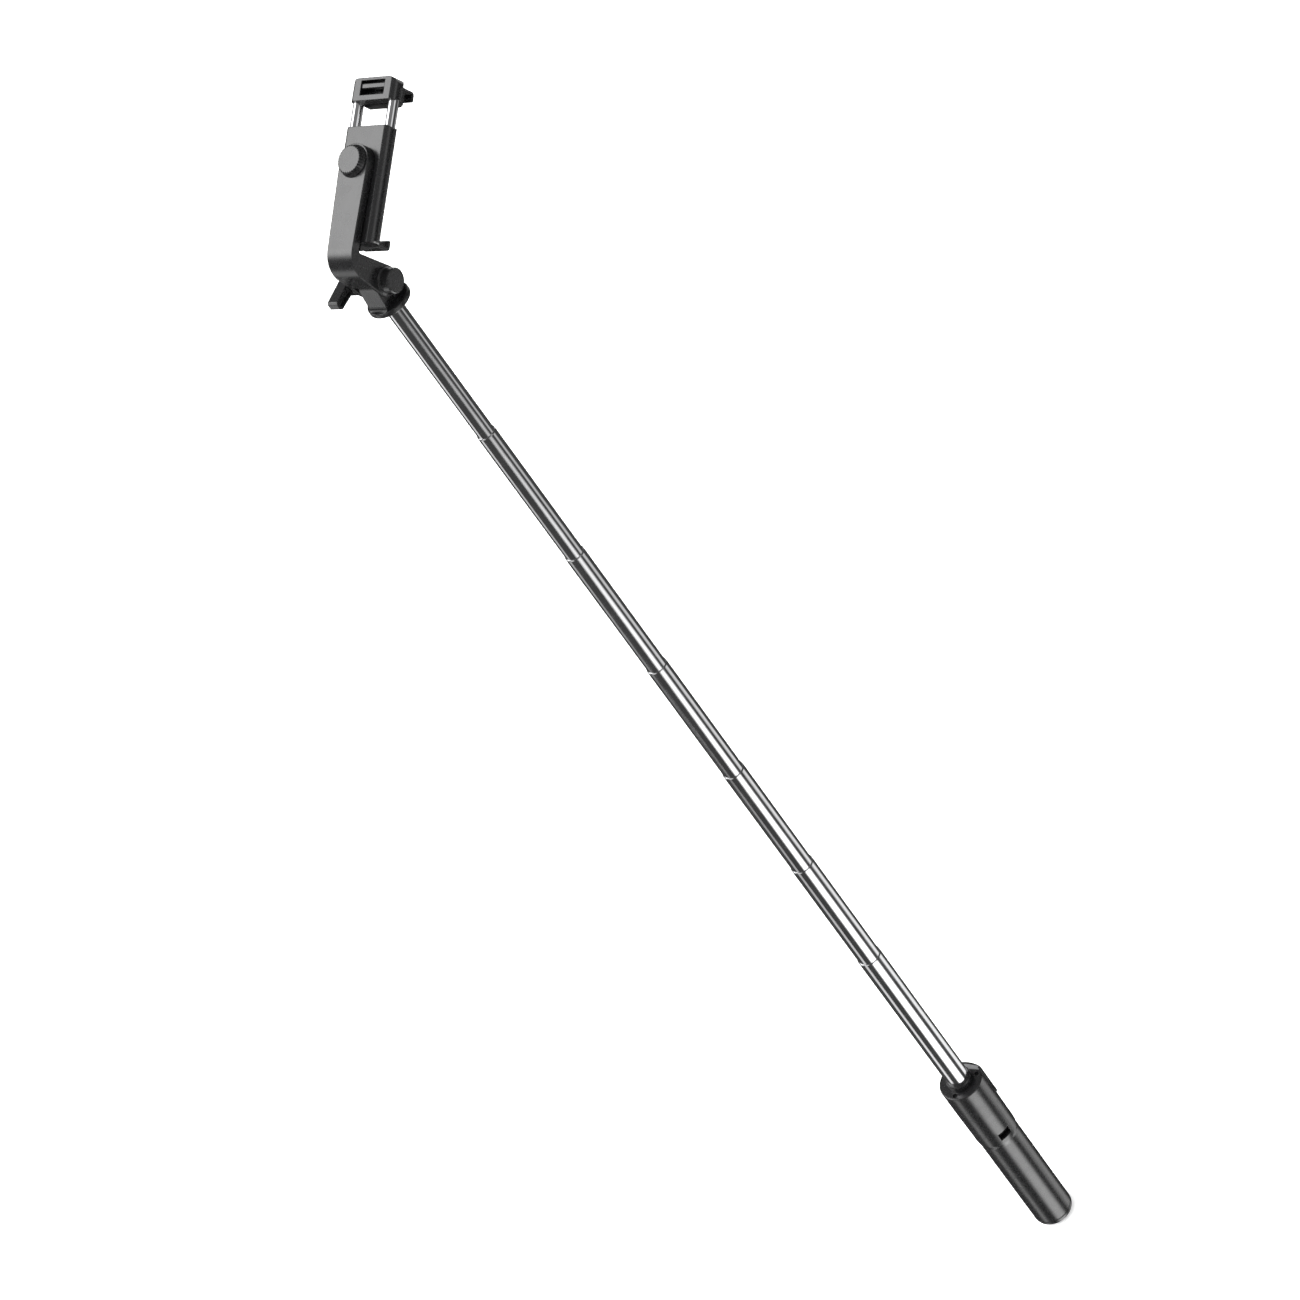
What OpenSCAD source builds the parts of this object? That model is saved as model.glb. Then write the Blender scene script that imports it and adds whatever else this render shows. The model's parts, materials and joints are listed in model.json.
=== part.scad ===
// Telescopic selfie stick with a tilting, swivelling phone clamp and a slide-out remote in its handle.
// Millimetres. The origin is the centre of the handle's flat bottom. +Z runs up the pole to the head,
// +X along the tilt hinge, and the phone leans towards +Y.

/* [Handle] */
// Height of the handle's top face
handle_h = 150; // [145:1:170]
// Outer radius of the lower grip
grip_r = 12.9; // [12.8:0.1:13.2]
// Outer radius of the upper part at the handle's top
upper_r = 13.6; // [13.5:0.1:13.8]
// Height of the step between the two radii
step_z = 94; // [88:1:96]
// Wall thickness of the handle's shell
shell_t = 1.7; // [1.5:0.1:1.8]
// Height of the separate bottom cap
cap_h = 5; // [4:0.5:6]
// Turn of the handle about the pole against the head, in degrees
handle_turn = 5; // [0:1:30]
// Height that the black collar stands above the top face
collar_h = 4.5; // [3:0.5:6]

/* [Remote] */
// Width of the remote's cover
remote_w = 20.4; // [20:0.1:20.8]
// Length of the remote
remote_l = 29.5; // [28:0.5:34]
// Distance from the pole's axis to the middle of the cover's outer face
remote_y = 13; // [12.9:0.1:13.4]
// Distance from the pole's axis to the plane of the cover's long edges
remote_edge_y = 10.5; // [10.4:0.1:10.8]

/* [Pole] */
// Outer diameter of the thinnest tube
tube_d = 9.1; // [8.6:0.1:9.4]
// Growth in diameter from each tube to the next
tube_step = 0.92; // [0.9:0.01:1]
// Wall thickness of the tubes
tube_wall = 0.25; // [0.22:0.01:0.27]
// Length of each tube that shows when it is pulled out
tube_show = 90.3; // [80:0.1:95]
// Length of the thickest tube that shows above the collar
base_show = 129.5; // [120:0.5:130]
// Length of each tube that stays inside the next
tube_overlap = 15.7; // [15:0.1:18]
// How far tube 5 is left pushed in
slack = 3.6; // [0:0.1:10]

/* [Hub] */
// Radius of the flange at the pole's top
flange_r = 10.9; // [10:0.1:12]
// Height of the hinge axis above the flange's underside
hinge_up = 13.7; // [13:0.1:15]
// Width of the lug between the arm's two ears
lug_w = 10.8; // [10.2:0.1:11]

/* [Arm] */
// Lean of the clamp from upright, in degrees
lean = 61.6; // [40:0.1:90]
// Width of the arm at its bend
arm_w = 15; // [14.8:0.1:15.4]
// Width of the arm at its round top
arm_top_w = 17; // [16:0.1:18]
// Thickness of the arm's upper leg
arm_t = 4.4; // [4:0.1:4.8]
// Radius of the barrel round the hinge
barrel_r = 7.1; // [6.8:0.1:7.2]
// Outer radius of the arm's bend
bend_r = 12; // [11:0.1:12]
// Distance from the hinge to the swivel axis along the clamp
swivel_u = 48.7; // [46:0.1:50]

/* [Clamp] */
// Gap between the jaws, as shown
jaw_gap = 71.4; // [66:0.1:80]
// Distance from the hinge to the lower jaw's pad
phone_u = 15.5; // [15.5:0.1:17]
// Width of the body's front face
plate_w = 21.8; // [21:0.1:22]
// Length of the clamp's body
body_l = 54.8; // [52:0.1:56]
// Diameter of the two chrome guide rods
rod_d = 5; // [4.6:0.1:5]
// Distance between the rods' axes
rod_span = 21.4; // [21:0.1:21.6]

/* [Hidden] */
$fn = 64;
eps = 0.01;
run_gap = 0.05;        // radial clearance of a running fit
black = [0.16, 0.16, 0.165];
grey = [0.62, 0.62, 0.62];
steel = [0.75, 0.75, 0.77];
board_green = [0.1, 0.3, 0.18];
rubber = [0.08, 0.08, 0.08];

// Tube n is counted from the head, 1 to 7. Its outer radius, length, and top at rest.
function tube_r(n) = (tube_d + (n - 1) * tube_step) / 2;
base_len = base_show + 16.1 - collar_h;
function tube_len(n) = n == 7 ? base_len : tube_show + tube_overlap;
collar_top = handle_h + collar_h;
function tube_top(n) =
    n == 7 ? collar_top + base_show
    : tube_top(n + 1) + tube_show - (n == 5 ? slack : 0);
neck_l = 1.6;          // rolled end of each tube
lip_h = 0.8;           // flared bottom edge that holds the bushing up
bead_h = 0.6;          // rolled bead that stops the tube and holds the bushing down
bead_out = 0.14;       // height of lip and bead above the tube
bushing_in = 0.03;     // gap between bushing and tube
bushing_t = 0.13;      // thickness of a bushing
function bead_top(n) = n == 7 ? 7.3 : tube_overlap - neck_l - 0.3;
function bushing_l(n) = bead_top(n) - bead_h - lip_h - 0.2;

hub_z = tube_top(1);
hinge_z = hub_z + hinge_up;
flange_t = 2.7;
bolt_r = 1.5;
washer_t = 0.28;
fork_half = lug_w / 2 + washer_t + 0.07;
phone_t = 8.1;
phone_w = 6.35;        // height of the phone's mid-plane above the hinge, across the clamp
front_w = 21.35;       // clamp's front face, in the arm's frame
back_w = 14.05;        // clamp's back face
rod_w = 17.25;         // plane of the guide rods
body_u = phone_u - 3.5;
jaw_u = phone_u + jaw_gap - 7.9;
jaw_h = 10.7;
arm_in = front_w + 0.4;
arm_out = arm_in + arm_t;
boss_r = 6;
boss_x = 12.8;
screw_r = 0.8;

// ---- small helpers ----

// Ring between two radii and two heights.
module ring(r_in, r_out, z0, z1) {
    difference() {
        translate([0, 0, z0]) cylinder(r = r_out, h = z1 - z0);
        translate([0, 0, z0 - 1]) cylinder(r = r_in, h = z1 - z0 + 2);
    }
}

// Rectangle with round corners, from corner p to corner q.
module round_rect(p, q, r) {
    translate([p[0] + r, p[1]]) square([q[0] - p[0] - 2 * r, q[1] - p[1]]);
    translate([p[0], p[1] + r]) square([q[0] - p[0], q[1] - p[1] - 2 * r]);
    for (x = [p[0] + r, q[0] - r])
        for (y = [p[1] + r, q[1] - r])
            translate([x, y]) circle(r = r);
}

// Cylinder along X from x0 to x1, centred on y and z.
module rod_x(x0, x1, r, y = 0, z = 0) {
    translate([x0, y, z]) rotate([0, 90, 0]) cylinder(r = r, h = x1 - x0);
}

// Extrudes a (y, z) outline along X from x0 to x1.
module along_x(x0, x1) {
    translate([x0, 0, 0]) rotate([90, 0, 90]) linear_extrude(x1 - x0) children();
}

// Frame of the handle, turned about the pole.
module in_handle() {
    rotate([0, 0, handle_turn]) children();
}

// Frame of the arm: origin on the hinge, Y along the clamp (u), Z out of the clamp's front (w).
module in_arm() {
    translate([0, 0, hinge_z]) rotate([90 - lean, 0, 0]) children();
}

// ---- handle ----

screw_at = [-91, 31, 151];
screw_ring = 10.5;
liner_in = tube_r(7) + bushing_in + bushing_t + 0.05;
liner_out = liner_in + 0.33;
plate_t = 1.7;
collar_r = 8.2;
pocket_y = 8.3;
pocket_z = handle_h - remote_l - 0.3;
rail_x = 8.7;          // half width of the bay's mouth
rail_out = 9.4;        // half width of the remote's rails
rail_y = 9.4;
window_turn = -30.5;
window_z = 99;
window_h = 6.1;
window_w = 8.3;

// Outer solid of the shell above the bottom cap.
module shell_outer() {
    rotate_extrude() polygon([
        [0, cap_h], [grip_r - 0.3, cap_h], [grip_r, cap_h + 0.3], [grip_r, step_z - 2.2],
        [grip_r + 0.07, step_z - 1.1], [(grip_r + upper_r) / 2 - 0.1, step_z], [upper_r - 0.27, step_z + 1.1],
        [upper_r - 0.2, step_z + 2.2], [upper_r, step_z + 30],
        [upper_r, handle_h - 0.5], [upper_r - 0.15, handle_h - 0.15], [upper_r - 0.5, handle_h], [0, handle_h]
    ]);
}

// Channel that the remote slides in, with an undercut behind its two rails.
module remote_channel() {
    translate([-rail_out - 0.15, pocket_y, pocket_z]) cube([2 * rail_out + 0.3, rail_y - pocket_y, 60]);
    translate([-rail_x, pocket_y, pocket_z]) cube([2 * rail_x, 12, 60]);
    translate([-12, remote_edge_y - 0.3, pocket_z]) cube([24, 12, 60]);
}

module handle_housing() color(black) in_handle() {
    difference() {
        union() {
            difference() {
                shell_outer();
                translate([0, 0, cap_h - 1]) cylinder(r = grip_r - shell_t, h = handle_h - cap_h - plate_t - 1);
            }
            for (z = [22, 84, 112]) ring(liner_out + 0.04, grip_r - shell_t + 0.2, z, z + 2);
            for (a = screw_at) rotate([0, 0, a]) translate([screw_ring, 0, 126])
                cylinder(r = 2, h = handle_h - plate_t - 126);
            intersection() {
                translate([-14, liner_out + 0.05, pocket_z - 1.7]) cube([28, 14, remote_l]);
                translate([0, 0, pocket_z - 2]) cylinder(r = upper_r - 0.6, h = remote_l + 1);
            }
        }
        remote_channel();
        translate([0, 0, handle_h - plate_t]) cylinder(r = upper_r - 0.75, h = plate_t + 1);
        translate([0, 0, handle_h - plate_t - 2.4]) cylinder(r = collar_r + 0.05, h = 4);
        for (a = screw_at) rotate([0, 0, a]) translate([screw_ring, 0, 130]) cylinder(r = screw_r, h = 30);
        rotate([0, 0, window_turn]) translate([9.5, -window_w / 2, window_z]) cube([6, window_w, window_h]);
    }
}

module bottom_cap() color(black) {
    difference() {
        rotate_extrude() union() {
            intersection() {
                translate([grip_r - 3, 3]) circle(r = 3);
                square([grip_r, 3]);
            }
            translate([0, 3 - eps]) square([grip_r, cap_h - 3.3]);
            square([grip_r - 3, cap_h - 0.02]);
            translate([0, 1]) square([grip_r - shell_t - 0.03, cap_h + 3]);
        }
        translate([0, 0, 2]) cylinder(r = grip_r - shell_t - 1.8, h = 20);
    }
}

module top_plate() color(black) in_handle() {
    difference() {
        translate([0, 0, handle_h - plate_t + eps]) cylinder(r = upper_r - 0.85, h = plate_t - 0.15);
        translate([0, 0, handle_h - 9]) cylinder(r = collar_r + 0.04, h = 18);
        translate([-20, pocket_y - 0.1, handle_h - 9]) cube([40, 20, 18]);
        for (a = screw_at) rotate([0, 0, a]) translate([screw_ring, 0, handle_h - 9]) cylinder(r = 1.45, h = 18);
    }
}

module plate_screws() color(black) in_handle() {
    for (a = screw_at) rotate([0, 0, a]) translate([screw_ring, 0, 0]) {
        translate([0, 0, handle_h - plate_t + eps]) cylinder(r = 1.3, h = 0.5);
        translate([0, 0, handle_h - 16]) cylinder(r = screw_r - 0.02, h = 16 - plate_t + 0.1);
    }
}

module collar() color(black) {
    rotate_extrude() polygon([
        [liner_in, handle_h - 4], [collar_r, handle_h - 4], [collar_r, collar_top - 0.7],
        [collar_r - 0.5, collar_top], [tube_r(7) + run_gap, collar_top],
        [tube_r(7) + run_gap, handle_h + 0.4], [liner_in, handle_h + 0.4]
    ]);
}

module liner_tube() color(steel) {
    ring(liner_in, liner_out, cap_h + 3.6, handle_h - 4.05);
}

module window_latch() color(black) in_handle() {
    rotate([0, 0, window_turn]) translate([0, 0, window_z + 0.2]) difference() {
        intersection() {
            translate([liner_out - 0.2, -window_w / 2 + 0.2, 0]) cube([8, window_w - 0.4, window_h - 0.4]);
            cylinder(r = grip_r - 2.2, h = 20);
        }
        translate([0, 0, -1]) cylinder(r = liner_out + 0.02, h = 20);
    }
}

// ---- remote ----

button_z = handle_h - 14;
battery_z = handle_h - 16;
cover_rise = remote_y - remote_edge_y;
cover_curve = (remote_w * remote_w / 4 + cover_rise * cover_rise) / (2 * cover_rise);
bed_rise = 1.1;        // rise of the seam between cover and frame
bed_curve = (remote_w * remote_w / 4 + bed_rise * bed_rise) / (2 * bed_rise);

// Cylinder along the pole whose top stands rise above the plane of the cover's long edges.
module remote_arch(curve, rise) {
    translate([0, remote_edge_y + rise - curve, pocket_z - 5]) cylinder(r = curve, h = remote_l + 20, $fn = 180);
}

module remote_cover() color(black) in_handle() {
    difference() {
        intersection() {
            remote_arch(cover_curve, cover_rise);
            translate([0, 30, 0]) rotate([90, 0, 0]) linear_extrude(40) union() {
                round_rect([-remote_w / 2, handle_h - remote_l], [remote_w / 2, handle_h - 4], 4);
                translate([-remote_w / 2, handle_h - 8]) square([remote_w, 7.9]);
            }
            translate([-15, remote_edge_y - 0.2, 0]) cube([30, 10, 200]);
        }
        remote_arch(bed_curve, bed_rise);
        translate([0, 5, button_z]) rotate([-90, 0, 0]) cylinder(r = 4.3, h = 20);
    }
}

module remote_frame() color(grey) in_handle() {
    difference() {
        union() {
            translate([-rail_out, pocket_y + 0.12, pocket_z + 0.2])
                cube([2 * rail_out, rail_y - pocket_y - 0.24, remote_l - 0.1]);
            intersection() {
                translate([-rail_x + 0.15, pocket_y + 0.12, pocket_z + 0.2])
                    cube([2 * rail_x - 0.3, 8, remote_l - 0.1]);
                remote_arch(bed_curve - 0.02, bed_rise - 0.02);
            }
        }
        translate([0, pocket_y + 0.8, battery_z]) rotate([-90, 0, 0]) cylinder(r = 6.3, h = 4);
        translate([-7.1, 10.35, handle_h - 27.1]) cube([14.2, 4, 22.2]);
    }
}

module remote_battery() color(steel) in_handle() {
    translate([0, pocket_y + 0.85, battery_z]) rotate([-90, 0, 0]) cylinder(r = 6.25, h = 1.2);
}

module remote_board() color(board_green) in_handle() {
    translate([-7, 10.4, handle_h - 27]) cube([14, 0.6, 22]);
    translate([-2, 11 - eps, button_z - 2]) cube([4, 0.4, 4]);
}

module remote_button() color(black) in_handle() {
    translate([0, 12, button_z]) rotate([-90, 0, 0]) rotate_extrude()
        polygon([[0, 0], [4.2, 0], [4.2, 0.9], [3.7, 1.3], [0, 1.3]]);
    translate([0, 11.95, button_z]) rotate([-90, 0, 0]) cylinder(r = 1.5, h = 1);
}

// ---- pole ----

// Thin tube number n with its rolled top, flared foot and stop bead.
module tube(n) {
    ro = tube_r(n);
    ri = ro - tube_wall;
    z1 = tube_top(n);
    z0 = z1 - tube_len(n);
    neck_in = n == 1 ? ri : tube_r(n - 1) + run_gap;
    neck_out = n == 1 ? ro : ro - 0.2;
    zb = z0 + bead_top(n);
    color(steel) rotate_extrude() polygon([
        [ri, z0], [ro + bead_out, z0], [ro + bead_out, z0 + lip_h], [ro, z0 + lip_h],
        [ro, zb - bead_h], [ro + bead_out, zb - bead_h + 0.15], [ro + bead_out, zb - 0.15], [ro, zb],
        [ro, z1 - 0.5], [neck_out, z1], [neck_in, z1], [neck_in, z1 - neck_l + 0.3], [ri, z1 - neck_l]
    ]);
}

// Split friction sleeve near the foot of tube n.
module bushing(n) {
    ri = tube_r(n) + bushing_in;
    z0 = tube_top(n) - tube_len(n) + lip_h + 0.1;
    color([0.72, 0.6, 0.35]) difference() {
        ring(ri, ri + bushing_t, z0, z0 + bushing_l(n));
        translate([0, -0.5, z0 - 1]) cube([20, 1, bushing_l(n) + 2]);
    }
}

module tube_1() color(steel) {
    difference() {
        union() {
            tube(1);
            ring(tube_r(1) - tube_wall, tube_r(1), hub_z - 1, hub_z + 6.5);
        }
        rod_x(-20, 20, 0.82, 0, hub_z + 4.2);
    }
}

// ---- hub ----

module hub() color(black) {
    difference() {
        union() {
            translate([0, 0, hub_z]) rotate_extrude() union() {
                square([flange_r - 0.6, flange_t]);
                translate([0, 0.6]) square([flange_r, flange_t - 1.2]);
                translate([flange_r - 0.6, 0.6]) circle(r = 0.6);
                translate([flange_r - 0.6, flange_t - 0.6]) circle(r = 0.6);
            }
            along_x(-lug_w / 2, lug_w / 2) union() {
                translate([0, hinge_z]) circle(r = 6.9);
                polygon([[-8.2, hub_z + 1], [8.2, hub_z + 1], [8.2, hub_z + flange_t + 0.6],
                         [6.9, hinge_z], [-6.9, hinge_z], [-8.2, hub_z + flange_t + 0.6]]);
            }
            intersection() {
                along_x(-lug_w / 2, lug_w / 2) translate([0, hub_z + flange_t]) difference() {
                    translate([-10, -0.5]) square([20, 2.5]);
                    for (side = [-1, 1]) translate([side * 10.1, 2]) circle(r = 2);
                }
                translate([0, 0, hub_z]) cylinder(r = flange_r - 0.6, h = 10);
            }
        }
        translate([0, 0, hub_z - 1]) cylinder(r = tube_r(1) + 0.02, h = 7.6);
        rod_x(-20, 20, bolt_r + run_gap, 0, hinge_z);
        rod_x(-20, 20, 0.82, 0, hub_z + 4.2);
    }
}

module hub_pin() color(steel) {
    rod_x(-lug_w / 2 + 0.05, lug_w / 2 - 0.05, 0.8, 0, hub_z + 4.2);
}

// ---- arm ----

slot_deep = 8;         // depth of the fork's slot past the hinge, which lets the clamp stand upright
bend_c = [barrel_r + 0.9, arm_out - bend_r];   // centre of the bend's outer arc, as (u, w)
bend_far = norm(bend_c);
tangent_a = atan2(bend_c[1], bend_c[0]) + acos((barrel_r - bend_r) / bend_far);
tangent_n = [cos(tangent_a), sin(tangent_a)];

// Side outline of the arm: barrel, lower leg, large outer bend and upper leg.
module arm_side() {
    difference() {
        union() {
            circle(r = barrel_r);
            polygon([[0, 0], barrel_r * tangent_n, bend_c + bend_r * tangent_n, bend_c, [barrel_r, 0]]);
            translate(bend_c) circle(r = bend_r);
            translate([bend_c[0], arm_in]) square([60, arm_t]);
        }
        translate([barrel_r, -1]) square([60, arm_in - 1]);
        translate([barrel_r + 2, -1]) square([60, arm_in + 1]);
        translate([barrel_r + 2, arm_in - 2]) circle(r = 2);
    }
}

// Front outline of the arm: it widens up to its round top.
module arm_front() {
    polygon([[-arm_w / 2, -20], [arm_w / 2, -20], [arm_w / 2, bend_c[0]], [arm_top_w / 2, swivel_u],
             [-arm_top_w / 2, swivel_u], [-arm_w / 2, bend_c[0]]]);
    translate([0, swivel_u]) circle(r = arm_top_w / 2);
}

module arm() color(black) in_arm() {
    difference() {
        union() {
            intersection() {
                along_x(-12, 12) arm_side();
                translate([0, 0, -20]) linear_extrude(60) arm_front();
            }
            translate([arm_w / 2 - eps, 0, 0]) rotate([0, 90, 0]) rotate_extrude() polygon([
                [0, 0], [boss_r + 0.7, 0], [boss_r, 0.8], [boss_r, boss_x - arm_w / 2 - 0.5],
                [boss_r - 0.5, boss_x - arm_w / 2], [0, boss_x - arm_w / 2]
            ]);
        }
        along_x(-fork_half, fork_half) translate([-30, -30]) square([60, 30 + slot_deep]);
        rod_x(-20, 20, bolt_r + run_gap);
        rod_x(arm_w / 2 + 1, 20, 3.25);
        rod_x(boss_x - 0.6, 20, 5.15);
        translate([0, swivel_u, 0]) cylinder(r = bolt_r + run_gap, h = 60);
    }
}

module tilt_bolt() color(steel) in_arm() {
    rod_x(-13.6, arm_w / 2 + 1.2, bolt_r);
    rod_x(arm_w / 2 + 1.05, arm_w / 2 + 4, 3.2);
}

module hinge_cap() color(black) in_arm() {
    rod_x(boss_x - 0.58, boss_x - 0.08, 5.1);
}

module tilt_washers() color(steel) in_arm() {
    for (side = [-1, 1])
        difference() {
            rod_x(side * (fork_half - 0.01 - washer_t / 2) - washer_t / 2,
                  side * (fork_half - 0.01 - washer_t / 2) + washer_t / 2, 5.4);
            rod_x(-20, 20, bolt_r + run_gap);
        }
}

module swivel_washer() color(rubber) in_arm() {
    translate([0, swivel_u, 0]) ring(bolt_r + run_gap, 6, front_w + 0.05, arm_in);
}

// ---- wing lever ----

lever_in = 8.3;
lever_out = 15.3;
lever_bar_in = 9.5;
lever_reach = 18.5;

module wing_lever() color(black) translate([0, 0, hinge_z]) {
    difference() {
        union() {
            rod_x(-lever_out + 0.6, -lever_in, 6.3);
            along_x(-lever_out, -lever_bar_in) polygon([
                [0, 6.3], [-lever_reach + 1, 5], [-lever_reach, 4], [-lever_reach, 1.2], [-lever_reach + 1.2, 0],
                [-6, 0], [-3, -2], [0, -2]
            ]);
        }
        rod_x(-14, 0, bolt_r + run_gap);
        rod_x(-12.8, -9.4, 3.3);
        along_x(-lever_bar_in - 0.9, 0) polygon([
            [-8, 4.6], [-lever_reach + 2.2, 3.8], [-lever_reach + 1.2, 1.4], [-lever_reach + 2, 1.1], [-8, 1.1]
        ]);
    }
}

module lever_nut() color(steel) translate([0, 0, hinge_z]) {
    difference() {
        rod_x(-12.7, -9.5, 3.25);
        rod_x(-20, 0, bolt_r + run_gap);
    }
}

// ---- swivel ----

knob_h = 3.2;

module swivel_knob() color(black) in_arm() {
    translate([0, swivel_u, arm_out + 0.06]) difference() {
        rotate_extrude() polygon([
            [0, 0], [7.7, 0], [7.7, 0.4], [6.7, knob_h - 0.3], [6.35, knob_h], [0, knob_h]
        ]);
        for (i = [0:29]) rotate([0, 0, i * 12]) translate([7.75, 0, -1]) rotate([0, -18, 0])
            cylinder(r = 0.28, h = 9, $fn = 24);
        translate([0, 0, -1]) cylinder(r = bolt_r + 0.01, h = 2.4);
    }
}

module swivel_screw() color(steel) in_arm() {
    translate([0, swivel_u, rod_w + 0.3]) cylinder(r = bolt_r, h = arm_out + 1.4 - rod_w - 0.3);
}

module swivel_nut() color(steel) in_arm() {
    translate([0, swivel_u, rod_w + 0.4]) difference() {
        cylinder(r = 3.1, h = 2.2, $fn = 6);
        translate([0, 0, -1]) cylinder(r = bolt_r + run_gap, h = 9);
    }
}

// ---- clamp ----

// Cross-section of the clamp's body, as (x, w): a flat front face between two long round shoulders.
module bar_section() {
    edge = plate_w / 2;
    side = rod_span / 2 + rod_d / 2 + 0.5;
    round_back = 2.5;
    for (m = [0, 1]) mirror([m, 0]) {
        translate([-eps, back_w]) square([side - round_back + eps, front_w - back_w - 4]);
        translate([-eps, front_w - 5]) square([edge - 1, 5]);
        translate([side - round_back, back_w + round_back]) circle(r = round_back);
        translate([side - round_back, back_w + round_back]) square([round_back, shoulder_w - back_w - round_back]);
        intersection() {
            translate([side - shoulder_r, shoulder_w]) circle(r = shoulder_r, $fn = 128);
            translate([0, shoulder_w - 1.5]) square([side + 1, shoulder_h + 1.5]);
        }
    }
}

// Bar of that section between two places along the clamp, with round lower or upper corners in front view.
module bar(u0, u1, r) {
    intersection() {
        translate([0, u1, 0]) rotate([90, 0, 0]) linear_extrude(u1 - u0) bar_section();
        linear_extrude(40) round_rect([-20, u0], [20, u1], r);
        linear_extrude(40) children();
    }
}

half_side = rod_span / 2 + rod_d / 2 + 0.5;
shoulder_w = rod_w + 0.1;
shoulder_h = front_w - shoulder_w;
shoulder_x = half_side - plate_w / 2;
shoulder_r = (shoulder_h * shoulder_h + shoulder_x * shoulder_x) / (2 * shoulder_x);

module rod_bores(r) {
    for (side = [-1, 1]) translate([side * rod_span / 2, 0, rod_w]) rotate([-90, 0, 0]) cylinder(r = r, h = 200);
}

// Solid of the body before it is split into a front and a back shell.
module body_solid() {
    difference() {
        bar(body_u, body_u + body_l, 0.3)
            round_rect([-half_side, body_u], [half_side, body_u + body_l], 2);
        translate([0, body_u + 2.6, 0]) rod_bores(rod_d / 2 + run_gap);
        translate([-8.6, body_u + 3.2, back_w + 1.2]) cube([17.2, 38.5, 19.95 - back_w - 1.2]);
        translate([0, swivel_u, 0]) cylinder(r = bolt_r + 0.2, h = 60);
        for (p = clamp_screw_at) translate([p[0], p[1], 0]) cylinder(r = screw_r, h = front_w - 1.6);
        for (p = clamp_screw_at) translate([p[0], p[1], 0]) cylinder(r = 1.5, h = back_w + 0.8);
        for (x = lower_screw_x) translate([x, 0, lower_screw_w]) rotate([-90, 0, 0])
            cylinder(r = screw_r, h = body_u + 2.6);
    }
}

clamp_screw_at = [[-5.5, body_u + 46.5], [5.5, body_u + 46.5], [-7, body_u + 1.6], [7, body_u + 1.6]];
lower_screw_x = [-3.4, 3.4];
lower_screw_w = rod_w + 0.7;

module clamp_front() color(black) in_arm() {
    intersection() {
        body_solid();
        translate([-30, 0, rod_w]) cube([60, 200, 30]);
    }
}

module clamp_back() color(black) in_arm() {
    intersection() {
        body_solid();
        translate([-30, 0, rod_w - 30 - eps]) cube([60, 200, 30]);
    }
}

module clamp_screws() color(steel) in_arm() {
    for (p = clamp_screw_at) translate([p[0], p[1], 0]) {
        translate([0, 0, back_w + 0.1]) cylinder(r = 1.45, h = 0.68);
        translate([0, 0, back_w + 0.5]) cylinder(r = screw_r - 0.02, h = front_w - 2.4 - back_w);
    }
}

jaw_half = 7;          // half width of the top jaw's tongue
lower_half = 6.5;      // half width of the lower jaw
phone_back = phone_w + phone_t / 2;
phone_front = phone_w - phone_t / 2;
lip_w = phone_front - 1.6;
pad_t = 0.6;

module lower_jaw() color(black) in_arm() {
    difference() {
        along_x(-lower_half, lower_half) translate([phone_u, 0]) union() {
            polygon([
                [-3.52, front_w - 1.6], [-6.4, front_w - 1.6], [-6.8, front_w - 2.8], [-2.9, phone_back],
                [-2.2, phone_back - 2.4], [-2.2, lip_w + 2], [-0.2, lip_w], [2.2, lip_w], [2.8, lip_w + 0.6],
                [2.8, lip_w + 1.2], [-0.62, lip_w + 1.45], [-0.62, back_w - 0.1], [-3.52, back_w - 0.1]
            ]);
            translate([-0.2, lip_w + 2]) circle(r = 2);
        }
        translate([-30, phone_u - pad_t - 0.02, lip_w + 1.45]) cube([60, 10, 20]);
        for (x = lower_screw_x) translate([x, 0, lower_screw_w]) rotate([-90, 0, 0]) {
            cylinder(r = screw_r, h = 60);
            cylinder(r = 1.5, h = phone_u - 5.3);
        }
    }
}

module lower_pad() color(rubber) in_arm() {
    translate([-lower_half + 0.5, phone_u - pad_t, lip_w + 1.7]) cube([2 * lower_half - 1, pad_t, phone_t + 2.6]);
}

module lower_screws() color(steel) in_arm() {
    for (x = lower_screw_x) translate([x, 0, lower_screw_w]) rotate([-90, 0, 0]) {
        translate([0, 0, phone_u - 6]) cylinder(r = 1.45, h = 0.68);
        translate([0, 0, phone_u - 5.5]) cylinder(r = screw_r - 0.02, h = 4);
    }
}

yoke_u = phone_u + 19; // lower end of the rods
yoke_t = 1.8;
spring_r = 0.9;
spring_w = rod_w - 0.6;

// Two tension springs, close coiled in outline, between the body's foot and the yoke.
module jaw_springs() color(steel) in_arm() {
    coils = 14;
    u0 = body_u + 3.25;
    pitch = (yoke_u - yoke_t - 0.05 - u0) / coils;
    for (x = [-4, 4]) translate([x, u0, spring_w]) rotate([-90, 0, 0]) rotate_extrude()
        polygon(concat([[0.35, 0]], [for (i = [0:coils - 1], k = [0, 1])
            [k == 0 ? spring_r - 0.25 : spring_r, (i + 0.5 * k) * pitch]], [[spring_r - 0.25, coils * pitch],
            [0.35, coils * pitch]]));
}

module jaw_rods() color(steel) in_arm() {
    for (side = [-1, 1]) translate([side * rod_span / 2, yoke_u, rod_w]) rotate([-90, 0, 0])
        cylinder(r = rod_d / 2, h = jaw_u + 6 - yoke_u);
}

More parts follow.
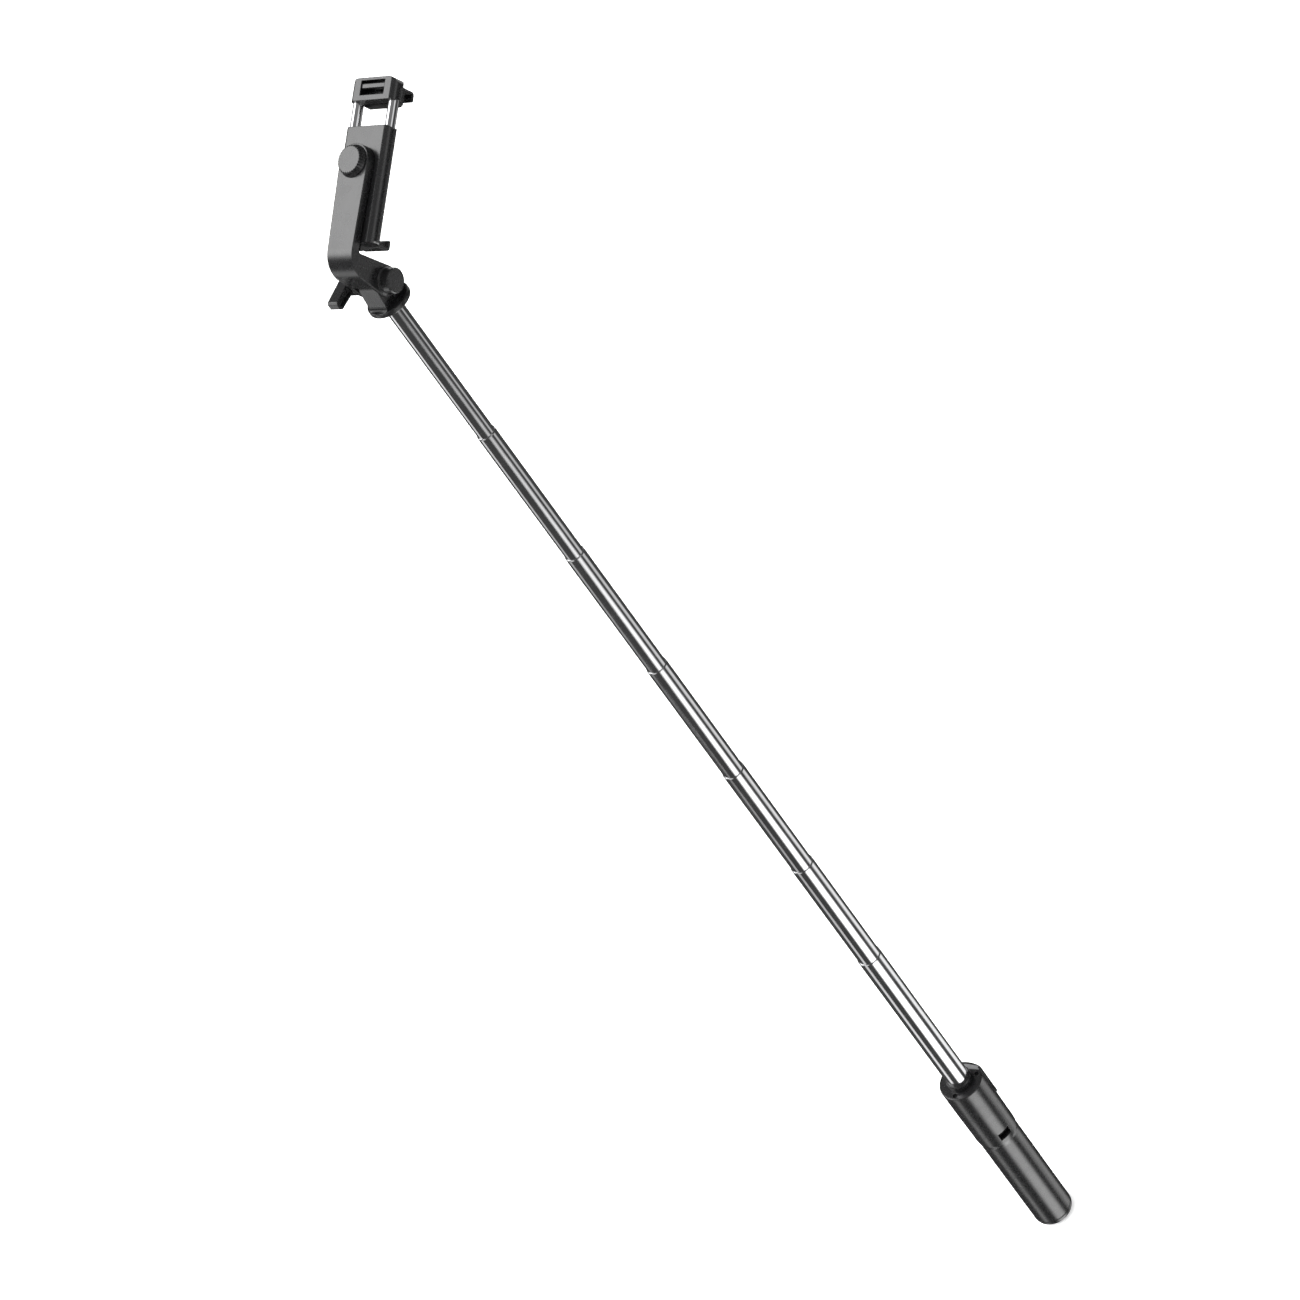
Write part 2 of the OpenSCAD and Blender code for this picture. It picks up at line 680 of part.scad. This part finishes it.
module rod_yoke() color(black) in_arm() {
    translate([-rod_span / 2, yoke_u - yoke_t, rod_w - 1.35]) cube([rod_span, yoke_t - eps, 1.4]);
    for (side = [-1, 1]) translate([side * rod_span / 2, yoke_u - yoke_t, rod_w]) rotate([-90, 0, 0])
        cylinder(r = rod_d / 2 - 0.2, h = yoke_t - eps);
}

window_half = 7.2;
window_u0 = jaw_u + 2.5;
window_u1 = window_u0 + 6.9;

module top_jaw() color(black) in_arm() {
    pad_u = phone_u + jaw_gap + pad_t + 0.02;
    difference() {
        union() {
            bar(jaw_u, jaw_u + jaw_h, 0.3) union() {
                round_rect([-half_side, jaw_u], [half_side, jaw_u + jaw_h], 4.5);
                translate([-half_side, jaw_u]) square([2 * half_side, 5.5]);
            }
            along_x(-jaw_half, jaw_half) union() {
                polygon([
                    [pad_u, back_w + 1], [pad_u, lip_w + 1.45], [pad_u - 4, lip_w + 1.2], [pad_u - 4, lip_w + 0.6],
                    [pad_u - 3.4, lip_w], [pad_u - 1, lip_w], [pad_u + 0.8, lip_w + 1.8],
                    [pad_u + 0.8, phone_back], [pad_u + 0.8, back_w + 1]
                ]);
                translate([pad_u - 1, lip_w + 1.8]) circle(r = 1.8);
            }
        }
        translate([-30, pad_u - 8, lip_w + 1.45]) cube([60, 8, back_w - lip_w - 1.45]);
        translate([0, jaw_u - 100, 0]) intersection() {
            rod_bores(rod_d / 2 + 0.01);
            translate([-30, 0, 0]) cube([60, 106, 60]);
        }
        translate([-window_half, window_u0, rod_w - 1.6])
            cube([2 * window_half, window_u1 - window_u0, 30]);
    }
}

module jaw_bar() color(black) in_arm() {
    translate([-window_half + 0.05, window_u0 + 4.5, front_w - 1.9]) rotate([0, 90, 0]) rotate([0, 0, 90])
        linear_extrude(2 * window_half - 0.1) round_rect([-1.4, -1.3], [1.4, 1.3], 0.7);
}

// Rubber lining of the top jaw: a thin strip under the tongue and a thicker pad behind the block.
module top_pad() color(rubber) in_arm() {
    pad_top = phone_u + jaw_gap + pad_t;
    translate([-jaw_half + 0.5, pad_top - pad_t, lip_w + 1.7]) cube([2 * jaw_half - 1, pad_t, phone_t + 2.6]);
    translate([0, 0, phone_back + 0.35]) linear_extrude(back_w - phone_back - 0.37)
        round_rect([-10.5, jaw_u - 0.9], [10.5, pad_top], 1.5);
}

handle_housing();
bottom_cap();
top_plate();
plate_screws();
collar();
liner_tube();
window_latch();
remote_cover();
remote_frame();
remote_board();
remote_battery();
remote_button();
tube_1();
tube(2);  // tube_2
tube(3);  // tube_3
tube(4);  // tube_4
tube(5);  // tube_5
tube(6);  // tube_6
tube(7);  // tube_7
bushing(1);  // bushing_1
bushing(2);  // bushing_2
bushing(3);  // bushing_3
bushing(4);  // bushing_4
bushing(5);  // bushing_5
bushing(6);  // bushing_6
bushing(7);  // bushing_7
hub();
hub_pin();
arm();
tilt_bolt();
hinge_cap();
tilt_washers();
swivel_washer();
wing_lever();
lever_nut();
swivel_knob();
swivel_screw();
clamp_front();
clamp_back();
clamp_screws();
swivel_nut();
lower_jaw();
lower_pad();
lower_screws();
jaw_springs();
jaw_rods();
rod_yoke();
top_jaw();
jaw_bar();
top_pad();
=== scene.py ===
import json
import math

import bmesh
import bpy
from mathutils import Matrix, Vector


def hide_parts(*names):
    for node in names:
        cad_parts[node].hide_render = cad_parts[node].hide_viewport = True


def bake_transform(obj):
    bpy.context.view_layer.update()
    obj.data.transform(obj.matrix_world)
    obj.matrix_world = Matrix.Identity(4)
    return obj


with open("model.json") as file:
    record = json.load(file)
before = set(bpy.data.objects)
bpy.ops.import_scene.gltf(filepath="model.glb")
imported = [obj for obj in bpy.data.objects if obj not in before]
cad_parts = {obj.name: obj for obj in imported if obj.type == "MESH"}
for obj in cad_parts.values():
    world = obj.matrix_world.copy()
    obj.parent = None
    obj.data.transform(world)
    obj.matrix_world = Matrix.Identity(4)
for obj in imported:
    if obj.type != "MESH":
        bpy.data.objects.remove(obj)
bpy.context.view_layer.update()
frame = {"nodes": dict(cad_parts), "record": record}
NODES = frame["nodes"]
MM = 0.001


# ---- node-tree helpers ----

def new_material(name):
    """A node material and its tree, with the Principled shader."""
    mat = bpy.data.materials.new(name)
    mat.use_nodes = True
    tree = mat.node_tree
    return mat, tree, tree.nodes["Principled BSDF"]


def add(tree, kind, **values):
    """A node of that kind. Keyword names are node properties, or inputs when they start with in_."""
    node = tree.nodes.new(kind)
    for key, value in values.items():
        if key.startswith("in_"):
            node.inputs[key[3:].replace("_", " ")].default_value = value
        else:
            setattr(node, key, value)
    return node


def object_coords(tree, scale=(1, 1, 1)):
    """Row-frame coordinates, stretched by scale."""
    coords = add(tree, "ShaderNodeTexCoord")
    mapping = add(tree, "ShaderNodeMapping")
    mapping.inputs["Scale"].default_value = scale
    tree.links.new(coords.outputs["Object"], mapping.inputs["Vector"])
    return mapping.outputs["Vector"]


def noise(tree, vector, scale, detail=3.0, rough=0.55):
    node = add(tree, "ShaderNodeTexNoise", in_Scale=scale, in_Detail=detail, in_Roughness=rough)
    tree.links.new(vector, node.inputs["Vector"])
    return node.outputs["Fac"]


def ramp(tree, fac, low, high, span=(0.3, 0.7)):
    """Maps fac from the span onto low to high. low and high are numbers or colours."""
    colour = not isinstance(low, (int, float))
    if colour:
        node = add(tree, "ShaderNodeValToRGB")
        stops = node.color_ramp.elements
        stops[0].position, stops[1].position = span
        stops[0].color = (*low, 1)
        stops[1].color = (*high, 1)
        tree.links.new(fac, node.inputs["Fac"])
        return node.outputs["Color"]
    node = add(tree, "ShaderNodeMapRange")
    node.inputs["From Min"].default_value, node.inputs["From Max"].default_value = span
    node.inputs["To Min"].default_value, node.inputs["To Max"].default_value = low, high
    tree.links.new(fac, node.inputs["Value"])
    return node.outputs["Result"]


def soft_edges(tree, radius):
    """Normal with every sharp edge rounded off by that radius."""
    return add(tree, "ShaderNodeBevel", samples=6, in_Radius=radius * MM).outputs["Normal"]


def bump(tree, shader, height, distance, strength=1.0, edge=0.0):
    node = add(tree, "ShaderNodeBump", in_Strength=strength, in_Distance=distance)
    tree.links.new(height, node.inputs["Height"])
    if edge:
        tree.links.new(soft_edges(tree, edge), node.inputs["Normal"])
    tree.links.new(node.outputs["Normal"], shader.inputs["Normal"])


def plastic(name, dark, light, rough, grain=0.0015, gloss=1.0, edge=0.4):
    """Moulded plastic: fine spark-eroded grain, faint mottling in colour and handling shine in roughness.

    dark, light: colours. rough: lowest and highest roughness. grain and edge are in millimetres.
    """
    mat, tree, shader = new_material(name)
    shader.inputs["Specular IOR Level"].default_value = gloss
    vector = object_coords(tree)
    broad = noise(tree, vector, 60, 4)
    fine = noise(tree, vector, 3200, 2, 0.6)
    tree.links.new(ramp(tree, broad, dark, light), shader.inputs["Base Color"])
    tree.links.new(ramp(tree, noise(tree, vector, 160, 5), rough[0], rough[1]), shader.inputs["Roughness"])
    bump(tree, shader, fine, grain * MM, edge=edge)
    return mat


def metal(name, dark, light, rough, stretch=(1, 1, 0.02), scale=1500, depth=0.001):
    """Metal with fine drawn or turned lines along one direction. depth is the lines' depth in millimetres."""
    mat, tree, shader = new_material(name)
    shader.inputs["Metallic"].default_value = 1.0
    lines = noise(tree, object_coords(tree, stretch), scale, 3)
    smears = noise(tree, object_coords(tree), 90, 5)
    tree.links.new(ramp(tree, smears, dark, light), shader.inputs["Base Color"])
    tree.links.new(ramp(tree, smears, rough[0], rough[1]), shader.inputs["Roughness"])
    bump(tree, shader, lines, depth * MM, edge=0.1)
    return mat


MATERIALS = {
    "black_plastic": plastic(
        "black_plastic", (0.008, 0.008, 0.0085), (0.011, 0.011, 0.0115), (0.25, 0.29)),
    "grey_plastic": plastic("grey_plastic", (0.20, 0.20, 0.205), (0.24, 0.24, 0.245), (0.35, 0.45)),
    "rubber": plastic("rubber", (0.012, 0.012, 0.012), (0.018, 0.018, 0.018), (0.6, 0.75), 0.01, 0.5),
    "tube_steel": metal("tube_steel", (0.70, 0.70, 0.71), (0.78, 0.78, 0.79), (0.10, 0.16)),
    "rod_chrome": metal("rod_chrome", (0.78, 0.78, 0.79), (0.84, 0.84, 0.85), (0.05, 0.09)),
    "steel": metal("steel", (0.50, 0.50, 0.52), (0.62, 0.62, 0.64), (0.25, 0.4)),
    "black_steel": metal("black_steel", (0.03, 0.03, 0.03), (0.06, 0.06, 0.06), (0.35, 0.5)),
    "bronze": metal("bronze", (0.50, 0.36, 0.18), (0.66, 0.50, 0.28), (0.3, 0.45)),
    "brass_insert": metal("brass_insert", (0.62, 0.47, 0.22), (0.72, 0.58, 0.32), (0.25, 0.4)),
    "battery_steel": metal("battery_steel", (0.55, 0.55, 0.57), (0.66, 0.66, 0.68), (0.22, 0.35)),
    "circuit_board": plastic("circuit_board", (0.012, 0.06, 0.03), (0.02, 0.10, 0.05), (0.3, 0.4)),
}

slot_of = {part["node"]: part["material_slot"] for part in frame["record"]["subparts"]}
for name, node in NODES.items():
    node.data.materials.clear()
    node.data.materials.append(MATERIALS[slot_of[name]])
# These two sit in holes: rougher, less glossy, and darker in colour than the other black plastic as painted
# shade of the holes.
for name in ("window_latch", "plate_screws"):
    NODES[name].data.materials[0] = plastic(
        name, (0.004, 0.004, 0.004), (0.006, 0.006, 0.006), (0.6, 0.7), grain=0.01, gloss=0.3)


# ---- jaw springs ----

# The leaning arm's own frame, in millimetres: x across, y up along it and z out of its back.
HINGE_Z, LEAN = 835.9, 61.6
ARM = Matrix.Translation((0, 0, HINGE_Z * MM)) @ Matrix.Rotation(math.radians(90 - LEAN), 4, "X")
SPRING_X, SPRING_FROM, SPRING_TO, SPRING_Z = 4.0, 15.25, 32.65, 16.65
WIRE_R, MEAN_R, TURNS = 0.125, 0.775, 14
TURN_STEPS, WIRE_SIDES = 20, 8


def spring_coils():
    """Both tension springs as one mesh: a round wire swept along a helix."""
    pitch = (SPRING_TO - SPRING_FROM - 2 * WIRE_R) / TURNS
    corners = [2 * math.pi * k / WIRE_SIDES for k in range(WIRE_SIDES)]
    lengthwise = Vector((0, 1, 0))
    shape = bmesh.new()
    for x in (-SPRING_X, SPRING_X):
        rings = []
        for i in range(TURN_STEPS * TURNS + 1):
            turn = i / TURN_STEPS
            angle = 2 * math.pi * turn
            outward = Vector((math.cos(angle), 0, math.sin(angle)))
            middle = Vector((x, SPRING_FROM + WIRE_R + turn * pitch, SPRING_Z)) + MEAN_R * outward
            rim = [middle + WIRE_R * (math.cos(a) * outward + math.sin(a) * lengthwise) for a in corners]
            rings.append([shape.verts.new(point * MM) for point in rim])
        for one, two in zip(rings, rings[1:]):
            for k in range(WIRE_SIDES):
                after = (k + 1) % WIRE_SIDES
                shape.faces.new((one[k], one[after], two[after], two[k]))
        shape.faces.new(rings[0][::-1])
        shape.faces.new(rings[-1])
    bmesh.ops.recalc_face_normals(shape, faces=shape.faces)
    mesh = bpy.data.meshes.new("spring_coils")
    shape.to_mesh(mesh)
    shape.free()
    for face in mesh.polygons:
        face.use_smooth = True
    mesh.transform(ARM)
    mesh.materials.append(MATERIALS["steel"])
    coils = bpy.data.objects.new("spring_coils", mesh)
    bpy.context.scene.collection.objects.link(coils)
    return coils


coils = spring_coils()
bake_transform(coils)
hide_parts("jaw_springs")


# ---- camera ----

CAMERA_LENS = 88.615
CAMERA_AT = (0.98932, -0.76866, 1.61452)
CAMERA_YAW, CAMERA_PITCH, CAMERA_ROLL = 52.064, -40.039, -36.147

camera = bpy.data.objects.new("camera", bpy.data.cameras.new("camera"))
bpy.context.scene.collection.objects.link(camera)
camera.data.lens = CAMERA_LENS
camera.data.sensor_width = 36.0
camera.data.clip_start = 0.01
camera.matrix_world = (
    Matrix.Translation(CAMERA_AT)
    @ Matrix.Rotation(math.radians(CAMERA_YAW), 4, "Z")
    @ Matrix.Rotation(math.radians(90 + CAMERA_PITCH), 4, "X")
    @ Matrix.Rotation(math.radians(CAMERA_ROLL), 4, "Z")
)
bpy.context.scene.camera = camera


# ---- stage ----

ROOM = 10.0
FLOOR_DROP = 0.002
FLOOR_GLOW = 0.6


def stage_object(name, build):
    """A mesh of the stage, made by build on a bmesh. Reflections pass it and show the studio lights."""
    mesh = bpy.data.meshes.new(name)
    shape = bmesh.new()
    build(shape)
    shape.to_mesh(mesh)
    shape.free()
    obj = bpy.data.objects.new(name, mesh)
    bpy.context.scene.collection.objects.link(obj)
    obj.visible_glossy = False
    return obj


floor = stage_object("floor", lambda shape: bmesh.ops.create_circle(
    shape, cap_ends=True, segments=64, radius=ROOM))
floor.location.z = -FLOOR_DROP
mat, tree, shader = new_material("floor")
clouds = noise(tree, object_coords(tree), 3)
tree.links.new(ramp(tree, clouds, (0.86, 0.86, 0.86), (0.88, 0.88, 0.88)), shader.inputs["Base Color"])
shader.inputs["Roughness"].default_value = 0.9
shader.inputs["Emission Color"].default_value = (1, 1, 1, 1)
shader.inputs["Emission Strength"].default_value = FLOOR_GLOW
floor.data.materials.append(mat)

backdrop = stage_object("backdrop", lambda shape: bmesh.ops.create_uvsphere(
    shape, u_segments=64, v_segments=32, radius=ROOM - 0.5))
backdrop.visible_diffuse = False
backdrop.visible_shadow = False
mat, tree, shader = new_material("backdrop")
shader.inputs["Base Color"].default_value = (0, 0, 0, 1)
shader.inputs["Emission Color"].default_value = (1, 1, 1, 1)
clouds = noise(tree, object_coords(tree), 0.1)
tree.links.new(ramp(tree, clouds, 0.97, 1.03), shader.inputs["Emission Strength"])
backdrop.data.materials.append(mat)


# ---- studio light ----

# Soft strip lights stand round the object with three soft boxes among them. Angles are in degrees.

world = bpy.data.worlds.new("studio")
world.use_nodes = True
bpy.context.scene.world = world
sky = world.node_tree
sky.nodes["Background"].inputs["Color"].default_value = (1, 1, 1, 1)


def maths(kind, *values):
    """A Math node on sockets or numbers."""
    node = add(sky, "ShaderNodeMath", operation=kind)
    for slot, value in zip(node.inputs, values):
        if isinstance(value, (int, float)):
            slot.default_value = value
        else:
            sky.links.new(value, slot)
    return node.outputs["Value"]


def blend_range(value, low, high, first, last):
    """Goes smoothly from first to last while value goes from low to high."""
    node = add(sky, "ShaderNodeMapRange", interpolation_type="SMOOTHSTEP")
    sky.links.new(value, node.inputs["Value"])
    for slot, number in (("From Min", low), ("From Max", high), ("To Min", first), ("To Max", last)):
        node.inputs[slot].default_value = number
    return node.outputs["Result"]


ray = add(sky, "ShaderNodeTexCoord").outputs["Generated"]
split = add(sky, "ShaderNodeSeparateXYZ")
sky.links.new(ray, split.inputs["Vector"])
# FRONT is the azimuth that faces the camera. A strip has its bottom look below BOTTOM_TO.
FRONT = -37.85
BOTTOM_TO, HIGHER_FROM = -50.0, -33.0
azimuth = maths("DEGREES", maths("ARCTAN2", split.outputs["Y"], split.outputs["X"]))
elevation = maths("DEGREES", maths("ARCSINE", split.outputs["Z"]))
around = maths("WRAP", maths("SUBTRACT", azimuth, FRONT), 180.0, -180.0)
low_to_mid = add(sky, "ShaderNodeMapRange")
low_to_mid.inputs["From Min"].default_value = BOTTOM_TO
low_to_mid.inputs["From Max"].default_value = HIGHER_FROM
sky.links.new(elevation, low_to_mid.inputs["Value"])
rise = low_to_mid.outputs["Result"]


def strip(centre, half, soft, strength):
    """An upright strip light. Each of centre, half width and strength is (at the bottom, higher up)."""
    middle, reach, power = [
        maths("ADD", low, maths("MULTIPLY", rise, high - low)) for low, high in (centre, half, strength)]
    off = maths("ABSOLUTE", maths("WRAP", maths("SUBTRACT", around, middle), 180.0, -180.0))
    edge = blend_range(maths("SUBTRACT", off, reach), -soft, soft, 1.0, 0.0)
    return maths("MULTIPLY", edge, maths("MAXIMUM", power, 0.0))


def soft_box(direction, radius, soft, strength):
    """A round soft box in that direction."""
    node = add(sky, "ShaderNodeVectorMath", operation="DOT_PRODUCT")
    sky.links.new(ray, node.inputs[0])
    node.inputs[1].default_value = Vector(direction).normalized()
    off = maths("DEGREES", maths("ARCCOSINE", node.outputs["Value"]))
    return blend_range(off, radius - soft, radius + soft, strength, 0.0)


def added(parts):
    total = parts[0]
    for part in parts[1:]:
        total = maths("ADD", total, part)
    return total


def between(low, high, soft):
    """1 between two elevations, fading to 0 outside them."""
    above = blend_range(elevation, low - soft, low + soft, 0.0, 1.0)
    below = blend_range(elevation, high - soft, high + soft, 1.0, 0.0)
    return maths("MULTIPLY", above, below)


left_low = strip((-84, -84), (11, 11), 6, (1.25, -1.25))
left_mid = strip((-100, -102), (11, 12), 6, (-1.0, 1.1))
front_low = strip((8, 10), (28, 13), 12, (3.2, 0.22))
right_low = strip((94, 66), (22, 12), 8, (1.15, 0.5))
level_lights = [
    strip((10, 10), (16, 16), 10, (0.9, 0.9)),
    strip((-62, -62), (16, 16), 10, (0.8, 0.8)),
    strip((136, 136), (12, 12), 8, (0.9, 0.9)),
    strip((180, 180), (17, 17), 10, (1.0, 1.0)),
    strip((-126, -126), (13, 13), 9, (1.0, 1.0)),
]
total = added([
    left_low,
    maths("MULTIPLY", left_mid, between(-90, -16, 6)),
    maths("MULTIPLY", added([front_low, right_low]), between(-90, -30, 3)),
    maths("MULTIPLY", added(level_lights), between(-24, 5, 4)),
    soft_box((-0.65, -0.27, 0.71), 19, 10, 3.7),
    soft_box((0.93, -0.06, 0.36), 14, 8, 0.8),
    soft_box((-0.2, 1.0, 0.30), 14, 8, 1.0),
    blend_range(elevation, -10.0, 60.0, 0.06, 0.2),
])
sky.links.new(total, sky.nodes["Background"].inputs["Strength"])

lamp = bpy.data.lights.new("overhead", "SUN")
lamp.energy = 4.2
lamp.angle = math.radians(70)
overhead = bpy.data.objects.new("overhead", lamp)
overhead.rotation_euler = Vector((0.3, 0.35, -1)).to_track_quat("-Z", "Y").to_euler()
overhead.visible_glossy = False
bpy.context.scene.collection.objects.link(overhead)

bpy.context.scene.view_settings.view_transform = "Standard"
